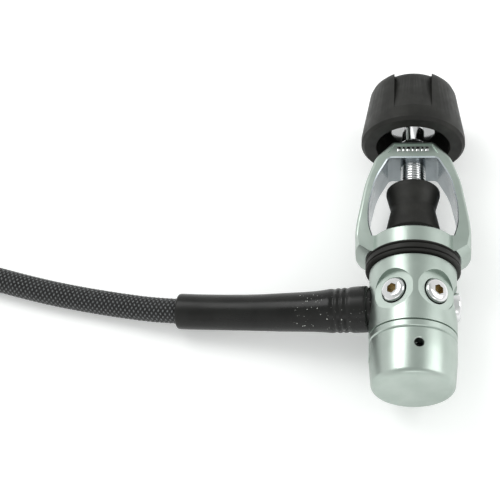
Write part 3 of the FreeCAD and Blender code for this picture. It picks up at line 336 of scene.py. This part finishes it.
def braided_nylon():
    """Dark nylon strands crossing over and under, with filament lines along each one, coloured near black in the gaps
    between strands as painted shade and lighter on the crown tops as painted highlight.

    The UV map gives turns round the hose and braid pitches along it, as braid_height does.
    """
    finish = Finish("braided_nylon", (0.06, 0.062, 0.064), 0.34, specular=0.3)
    split = finish.add("ShaderNodeSeparateXYZ")
    finish.link(finish.coords.outputs["UV"], split.inputs[0])
    turn, pitch = split.outputs["X"], split.outputs["Y"]
    first = finish.math("MULTIPLY", finish.math("ADD", turn, pitch), STRANDS)
    second = finish.math("MULTIPLY", finish.math("SUBTRACT", turn, pitch), STRANDS)
    first_off = finish.math("SUBTRACT", first, finish.math("ROUND", first))
    second_off = finish.math("SUBTRACT", second, finish.math("ROUND", second))

    def crown(off):
        return finish.math("SUBTRACT", 1.0, finish.math("MULTIPLY", finish.math("MULTIPLY", off, off), 4.0))

    def wave(strand, other):
        step = finish.math("SUBTRACT", finish.math("ROUND", strand), other)
        return finish.math("COSINE", finish.math("MULTIPLY", step, math.pi))
    first_high = finish.math("MULTIPLY_ADD", crown(first_off), STRAND_CROWN, wave(first, second))
    second_high = finish.math("SUBTRACT", finish.math("MULTIPLY", crown(second_off), STRAND_CROWN), wave(second, first))
    over = finish.math("GREATER_THAN", first_high, second_high)
    top = finish.math("MAXIMUM", first_high, second_high)

    def filaments(off):
        return finish.math("COSINE", finish.math("MULTIPLY", off, FULL_TURN * 5))
    lines = finish.math("MULTIPLY_ADD", over, finish.math("SUBTRACT", filaments(first_off), filaments(second_off)),
                        filaments(second_off))
    raised = finish.math("MULTIPLY_ADD", lines, 0.16, top)
    # painted shade and highlight: the gaps between strands are coloured near black, and only the strands' crown tops
    # get a lighter tone
    gap_shade = (0.001, 0.001, 0.001)
    half_raised = finish.math("MULTIPLY_ADD", raised, 0.5, 0.0)
    strand_shade_and_highlight = finish.ramp(half_raised, gap_shade, (0.25, 0.26, 0.265), 0.70, 0.90)
    worn_tone_with_gap_shade = finish.ramp(raised, gap_shade, (0.06, 0.062, 0.064), 0.66, 1.3)
    finish.colour(finish.mix(finish.ramp(finish.noise(400, 3), 0.0, 0.35), strand_shade_and_highlight, worn_tone_with_gap_shade))
    finish.roughness(finish.ramp(finish.noise(900, 3), 0.22, 0.36))
    finish.bump(lines, 0.00006, 0.6)
    return finish.material


MATERIALS = {
    "satin_chrome": satin_chrome(),
    "polished_chrome": polished_chrome(),
    "brass": bare_metal("machined_brass", (0.62, 0.47, 0.22), (0.78, 0.62, 0.32), 0.16, 0.34),
    "socket_brass": bare_metal("socket_brass", (0.36, 0.29, 0.17), (0.52, 0.43, 0.27), 0.2, 0.36),
    "sintered_bronze": bare_metal("sintered_bronze", (0.38, 0.28, 0.16), (0.55, 0.42, 0.26), 0.45, 0.65),
    "stainless_steel": bare_metal("stainless_steel", (0.50, 0.50, 0.49), (0.62, 0.62, 0.61), 0.18, 0.32),
    "white_polymer": plain_polymer("white_polymer", (0.78, 0.77, 0.71), (0.88, 0.87, 0.82)),
    "seal_rubber": moulded_rubber("seal_rubber", (0.012, 0.012, 0.012), (0.03, 0.03, 0.03), 0.3, 0.42, 1500),
    "black_rubber": moulded_rubber("black_rubber", (0.011, 0.0108, 0.0095), (0.024, 0.0237, 0.021), 0.42, 0.56, 2600),
    "sleeve_rubber": scuffed_sleeve(),
    "tie_fabric": strap_weave(),
    "braided_nylon": braided_nylon(),
}
SLOTS = {entry["node"]: entry["material_slot"] for entry in frame["record"]["subparts"]}


# ------------------------------------------------------------------ building and placing pieces
def piece_from(shape, name, body, slot, material=None, replaces=(), sharp=32.0):
    """A shown piece made from a bmesh, smooth except where faces meet more sharply than sharp degrees."""
    for face in shape.faces:
        face.smooth = True
    for edge in shape.edges:
        flat = edge.is_manifold and edge.calc_face_angle(0.0) < math.radians(sharp)
        edge.smooth = flat
    mesh = bpy.data.meshes.new(name)
    shape.to_mesh(mesh)
    shape.free()
    mesh.materials.append(material or MATERIALS[slot])
    piece = bpy.data.objects.new(name, mesh)
    bpy.context.scene.collection.objects.link(piece)
    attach(piece, body)
    if replaces:
        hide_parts(*replaces)
    return piece


def refined(node, bevel=0.2, crease=28.0, segments=2):
    """A CAD node's shape with welded faces and softened edges, standing in for the node."""
    source = frame["nodes"][node]
    shape = bmesh.new()
    shape.from_mesh(source.data)
    bmesh.ops.remove_doubles(shape, verts=shape.verts, dist=1e-6)
    bmesh.ops.dissolve_limit(shape, angle_limit=math.radians(0.4), verts=shape.verts, edges=shape.edges)
    piece = piece_from(shape, node + "_finished", source["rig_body"], SLOTS[node], replaces=(node,), sharp=crease)
    edge = piece.modifiers.new("edge", "BEVEL")
    edge.width = bevel * MM
    edge.segments = segments
    edge.limit_method = "ANGLE"
    edge.angle_limit = math.radians(crease)
    edge.harden_normals = True
    edge.use_clamp_overlap = True
    return piece


def paint_nodes():
    """Give every carried-over CAD node its own finish."""
    for node, cad in frame["nodes"].items():
        if SLOTS[node] in MATERIALS:
            cad.data.materials.clear()
            cad.data.materials.append(MATERIALS[SLOTS[node]])


# ------------------------------------------------------------------ the hose's line
COIL_CENTRE = (-265.0, 40.0)
COIL_START_RADIUS, COIL_STEP, COIL_SWEEP = 43.0, 11.3, 450
HOSE_RADIUS, HOSE_COLUMNS = 5.5, 60
# from inside the sleeve to the first turn of the coil, in millimetres
HOSE_POINTS = [
    (-16.29, -36.15, 20.81), (-30, -36.1, 18.9), (-45, -35.7, 16.8), (-68, -34.3, 13.2), (-88, -32.8, 10.6),
    (-103.3, -31.5, 9.0), (-115, -29.9, 7.6), (-127, -27.6, 6.4), (-138.3, -25.4, 5.8), (-150, -23.1, 5.6),
    (-161.4, -20.6, 5.6), (-173, -17.6, 5.6), (-185, -14.2, 5.6), (-199, -10.2, 5.6), (-213, -7.0, 5.6),
    (-229, -4.4, 5.8), (-243, -3.2, 6.2), (-254, -3.0, 6.4),
]
TAIL_POINTS = [(-322.1, 51, 8.4), (-322.1, 63, 9.6), (-322.1, 74, 9.9), (-322.1, 82, 9.9), (-322.1, 91, 9.9)]


def eased(part):
    """A smooth step from 0 to 1."""
    part = min(max(part, 0.0), 1.0)
    return part * part * (3 - 2 * part)


def coil_points():
    """The turns that lie on the floor, lifting once to cross the hose that comes in."""
    points = []
    for sweep in range(0, COIL_SWEEP + 1, 15):
        angle = math.radians(-90 - sweep)
        radius = COIL_START_RADIUS + COIL_STEP * sweep / 360
        hump = eased((sweep - 250) / 70) * (1 - eased((sweep - 336) / 64))
        points.append((COIL_CENTRE[0] + radius * math.cos(angle), COIL_CENTRE[1] + radius * math.sin(angle),
                       6.5 + 11.9 * hump))
    return points


def smooth_line(points):
    """Close points along one smooth curve through the neighbourhood of the given millimetre points."""
    data = bpy.data.curves.new("hose_line", "CURVE")
    data.dimensions = "3D"
    data.resolution_u = 12
    spline = data.splines.new("NURBS")
    spline.points.add(len(points) - 1)
    for spot, place in zip(spline.points, points):
        spot.co = (*(MM * value for value in place), 1)
    spline.order_u = 3
    spline.use_endpoint_u = True
    line = bpy.data.objects.new("hose_line", data)
    mesh = bpy.data.meshes.new_from_object(line)
    places = np.array([vertex.co for vertex in mesh.vertices], float)
    bpy.data.objects.remove(line)
    bpy.data.curves.remove(data)
    bpy.data.meshes.remove(mesh)
    return places


class Line:
    """A line through space that never runs upright, with its own side and top directions."""

    def __init__(self, places):
        self.places = np.array(places, float)
        steps = np.linalg.norm(np.diff(self.places, axis=0), axis=1)
        self.reach = np.concatenate(([0.0], np.cumsum(steps)))
        self.length = float(self.reach[-1])

    def at(self, reach):
        return np.stack([np.interp(reach, self.reach, self.places[:, axis]) for axis in range(3)], axis=1)

    def part(self, start, end, step=0.002):
        return self.at(np.linspace(start, end, int((end - start) / step) + 2))

    def frame(self, reach):
        """Places, side directions and top directions at each reach."""
        look = 0.0015
        low, high = np.clip(reach - look, 0, self.length), np.clip(reach + look, 0, self.length)
        ahead = self.at(high) - self.at(low)
        side = np.cross(ahead, (0.0, 0.0, 1.0))
        side /= np.linalg.norm(side, axis=1)[:, None]
        top = np.cross(side, ahead)
        top /= np.linalg.norm(top, axis=1)[:, None]
        return self.at(reach), side, top


def tube(line, reaches, columns, radius_at, v_scale):
    """A closed tube round a line: a grid rolled up, its radius given by radius_at(turn, reach)."""
    shape = bmesh.new()
    uv_map = shape.loops.layers.uv.new("UVMap")
    rows = len(reaches) - 1
    bmesh.ops.create_grid(shape, x_segments=columns, y_segments=rows, size=1.0)
    flat = np.array([vertex.co for vertex in shape.verts], float)
    turn = (flat[:, 0] + 1) / 2
    reach = np.asarray(reaches)[np.rint((flat[:, 1] + 1) / 2 * rows).astype(int)]
    for vertex, at_turn, at_reach in zip(shape.verts, turn, reach):
        for loop in vertex.link_loops:
            loop[uv_map].uv = (at_turn, at_reach / v_scale)
    radius = radius_at(turn, reach)
    place, side, top = line.frame(reach)
    angle = turn * FULL_TURN
    spots = place + (side * np.cos(angle)[:, None] + top * np.sin(angle)[:, None]) * radius[:, None]
    for vertex, spot in zip(shape.verts, spots):
        vertex.co = spot
    seam = [vertex for vertex, at_turn in zip(shape.verts, turn) if at_turn < 1e-6 or at_turn > 1 - 1e-6]
    bmesh.ops.remove_doubles(shape, verts=seam, dist=1e-6)
    return shape


def close_ends(shape):
    bmesh.ops.holes_fill(shape, edges=[edge for edge in shape.edges if edge.is_boundary], sides=0)
    bmesh.ops.recalc_face_normals(shape, faces=shape.faces)


HOSE_LINE = Line(smooth_line(HOSE_POINTS + coil_points() + TAIL_POINTS))


# ------------------------------------------------------------------ the hose and its sleeve
def braid_height(turn, reach):
    """Radius of the braid, its strands crossing over and under each other."""
    pitch = reach / BRAID_PITCH
    first, second = STRANDS * (turn + pitch), STRANDS * (turn - pitch)
    first_strand, second_strand = np.rint(first), np.rint(second)
    first_high = np.cos(np.pi * (first_strand - second)) + STRAND_CROWN * (1 - 4 * (first - first_strand) ** 2)
    second_high = STRAND_CROWN * (1 - 4 * (second - second_strand) ** 2) - np.cos(np.pi * (second_strand - first))
    return (HOSE_RADIUS - 0.42 + 0.27 * np.maximum(first_high, second_high)) * MM


def make_hose():
    """The braided hose: coarse where the sleeve hides it, finest in the open, and fine in the coil."""
    start, open_from, coil_from, end = 0.012, 0.080, 0.205, HOSE_LINE.length
    reaches = np.concatenate((np.arange(start, open_from, 0.0030), np.arange(open_from, coil_from, 0.00041),
                              np.arange(coil_from, end, 0.00051)))
    shape = tube(HOSE_LINE, reaches, HOSE_COLUMNS, braid_height, BRAID_PITCH)
    close_ends(shape)
    hose = piece_from(shape, "braided_hose", "first_stage", "braided_nylon",
                      replaces=("hose", "hose_coil", "hose_tail"), sharp=70)
    return hose, HOSE_LINE.part(start, end)


SLEEVE_PROFILE = [
    (0.0, 8.5), (0.1, 8.9), (0.3, 9.0), (2.0, 9.0), (2.3, 9.1), (2.35, 9.7), (2.7, 9.9), (3.4, 9.95), (6.0, 9.92),
    (9.2, 9.86), (10.2, 9.62), (10.8, 9.28), (11.3, 9.25), (11.8, 9.62), (12.4, 9.74), (13.0, 9.62), (13.5, 9.22),
    (14.0, 9.2), (14.5, 9.55), (15.1, 9.68), (15.7, 9.55), (16.2, 9.16), (16.8, 9.12), (17.4, 9.4), (18.2, 9.52),
    (19.2, 9.4), (22, 9.05), (26, 8.72), (32, 8.5), (40, 8.3), (48, 8.0), (56, 7.82), (66, 7.75), (76, 7.75),
    (84.5, 7.8), (85.9, 7.76), (86.5, 7.55), (86.7, 7.1), (86.6, 6.5), (86.2, 6.1), (85.0, 5.95), (81.0, 5.9),
]


def make_sleeve():
    """The bend sleeve over the hose's end: a plain cuff, three ribs and a long taper."""
    reach, radius = (np.array(column) * MM for column in zip(*SLEEVE_PROFILE))
    runs = np.concatenate(([0.0], np.cumsum(np.hypot(np.diff(reach), np.diff(radius)))))
    fine = np.linspace(0, runs[-1], 330)
    smooth_reach, smooth_radius = np.interp(fine, runs, reach), np.interp(fine, runs, radius)
    for _ in range(3):
        for column in (smooth_reach, smooth_radius):
            column[1:-1] = (column[:-2] + 2 * column[1:-1] + column[2:]) / 4
    places = np.arange(len(fine), dtype=float)
    shape = bmesh.new()
    uv_map = shape.loops.layers.uv.new("UVMap")
    bmesh.ops.create_grid(shape, x_segments=96, y_segments=len(fine) - 1, size=1.0)
    flat = np.array([vertex.co for vertex in shape.verts], float)
    turn = (flat[:, 0] + 1) / 2
    row = (flat[:, 1] + 1) / 2 * (len(fine) - 1)
    at_reach, at_radius = np.interp(row, places, smooth_reach), np.interp(row, places, smooth_radius)
    for vertex, across, along in zip(shape.verts, turn, at_reach):
        for loop in vertex.link_loops:
            loop[uv_map].uv = (across, along / 0.1)
    place, side, top = HOSE_LINE.frame(at_reach)
    angle = turn * FULL_TURN
    spots = place + (side * np.cos(angle)[:, None] + top * np.sin(angle)[:, None]) * at_radius[:, None]
    for vertex, spot in zip(shape.verts, spots):
        vertex.co = spot
    seam = [vertex for vertex, across in zip(shape.verts, turn) if across < 1e-6 or across > 1 - 1e-6]
    bmesh.ops.remove_doubles(shape, verts=seam, dist=1e-6)
    bmesh.ops.recalc_face_normals(shape, faces=shape.faces)
    return piece_from(shape, "bend_sleeve", "first_stage", "sleeve_rubber", replaces=("hose_sleeve",), sharp=60)


# ------------------------------------------------------------------ the clamp screw
# the thread's end and pitch, then the screw's radii and the thread's depth in millimetres
THREAD_END, THREAD_PITCH = 34.3 * MM, 1.27 * MM
SCREW_RADIUS, TIP_RADIUS, SHANK_RADIUS, THREAD_DEPTH = 5.5, 3.9, 4.9, 0.85


def make_screw():
    """The threaded clamp screw: a 1.27 mm pitch thread up to the plain shank."""
    low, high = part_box("yoke_screw")
    start = Vector((0, low.y, AXIS_HEIGHT))
    line = Line([start, start + ALONG * (high.y - low.y)])

    def radius_at(turn, reach):
        phase = (reach / THREAD_PITCH - turn) % 1.0
        thread = np.clip(np.abs(phase * 2 - 1) * 1.25 - 0.12, 0, 1) * THREAD_DEPTH
        lead = np.clip((reach - 0.2 * MM) / (1.8 * MM), 0, 1)
        tip = TIP_RADIUS + (SCREW_RADIUS - TIP_RADIUS) * lead
        threaded = (tip - thread * lead) * MM
        return np.where(reach < THREAD_END, threaded, SHANK_RADIUS * MM)
    reaches = np.concatenate((np.arange(0, THREAD_END + 0.1 * MM, THREAD_PITCH / 10),
                              [THREAD_END + 0.3 * MM, high.y - low.y]))
    shape = tube(line, reaches, 72, radius_at, 0.01)
    close_ends(shape)
    return piece_from(shape, "clamp_screw", "clamp_knob", "polished_chrome", replaces=("yoke_screw",), sharp=50)


# ------------------------------------------------------------------ details of the metal parts
def second_finish(piece, material, chosen):
    """Give the faces that chosen picks a second material."""
    piece.data.materials.append(material)
    for face in piece.data.polygons:
        if chosen(face):
            face.material_index = 1


WINDOW_HALF = 21.5 * MM
WINDOW_FROM, WINDOW_TO = 9 * MM, 50 * MM


def shade_and_polish_window():
    """The yoke's inner walls are brighter than its cast outside: they get smoother chrome, whose cooler, slightly
    darker colour is painted shade inside the window.
    """
    def inner_wall(face):
        across, reach = face.center.x, face.center.y - SHOULDER
        looks_in = face.normal.x * across < -0.2 * abs(across) or face.normal.y < -0.5
        return looks_in and abs(across) < WINDOW_HALF and WINDOW_FROM < reach < WINDOW_TO
    second_finish(bpy.data.objects["yoke_finished"], shaded_chrome(), inner_wall)


def paint_sockets():
    """The drive sockets in the plugs show bare brass."""
    for node, ports in (("low_pressure_plugs", LOW_PORTS), ("high_pressure_plugs", HIGH_PORTS)):
        outwards = [Vector((math.sin(math.radians(angle)), 0, math.cos(math.radians(angle)))) for angle in ports]

        def in_socket(face, outwards=outwards):
            arm = face.center - on_axis(-PORT_DROP)
            axis = max(outwards, key=lambda way: way.dot(arm))
            across = (arm - axis * axis.dot(arm)).length
            return across < SOCKET_RADIUS * MM and axis.dot(arm) < SOCKET_TOP[node] * MM and face.normal.dot(axis) > -0.2
        second_finish(bpy.data.objects[node + "_finished"], MATERIALS["socket_brass"], in_socket)


# widths of the raised bars, then their height, depth and spacing, in millimetres
LABEL_BARS = (1.5, 1.0, 1.5, 1.0, 1.5, 1.0, 1.5)
BAR_HEIGHT, BAR_DEPTH, BAR_SPACING = 2.4, 0.9, 2.05


def make_label():
    """A row of plain raised bars in the recess on the yoke's front, in place of any lettering."""
    shape = bmesh.new()
    floor = AXIS_HEIGHT + RECESS_HEIGHT * MM
    for column, width in enumerate(LABEL_BARS):
        made = bmesh.ops.create_cube(shape, size=1.0)["verts"]
        bmesh.ops.scale(shape, vec=(width * MM, BAR_HEIGHT * MM, BAR_DEPTH * MM), verts=made)
        place = on_axis(LABEL_STATION) + Vector(((column - 3) * BAR_SPACING * MM, 0, 0))
        bmesh.ops.translate(shape, vec=(place.x, place.y, floor), verts=made)
    bmesh.ops.bevel(shape, geom=shape.edges[:], offset=0.22 * MM, affect="EDGES", segments=2, profile=0.5, material=-1)
    return piece_from(shape, "raised_bars", "first_stage", "satin_chrome", MATERIALS["polished_chrome"])


# ------------------------------------------------------------------ all pieces
make_camera()
make_studio()
make_floor()
paint_nodes()
for node, bevel, crease in (
        ("body", 0.25, 28), ("end_cap", 0.2, 24), ("yoke", 0.35, 24), ("low_pressure_plugs", 0.12, 40),
        ("high_pressure_plugs", 0.12, 40), ("knob_grip", 0.8, 30), ("bumper_ring", 0.2, 28), ("dust_cap", 0.15, 14),
        ("knob_hub", 0.2, 28), ("far_ferrule", 0.3, 28), ("swivel_nut", 0.2, 28)):
    refined(node, bevel, crease)
shade_and_polish_window()
paint_sockets()
make_label()
hose, hose_path = make_hose()
sleeve = make_sleeve()
make_screw()
on_hose = [sleeve] + [frame["nodes"][node] for node in (
    "hose_fitting", "fitting_o_ring", "hose_ferrule", "coil_ties", "hose_nipple", "nipple_o_ring")]
on_hose += [bpy.data.objects[name + "_finished"] for name in ("far_ferrule", "swivel_nut")]
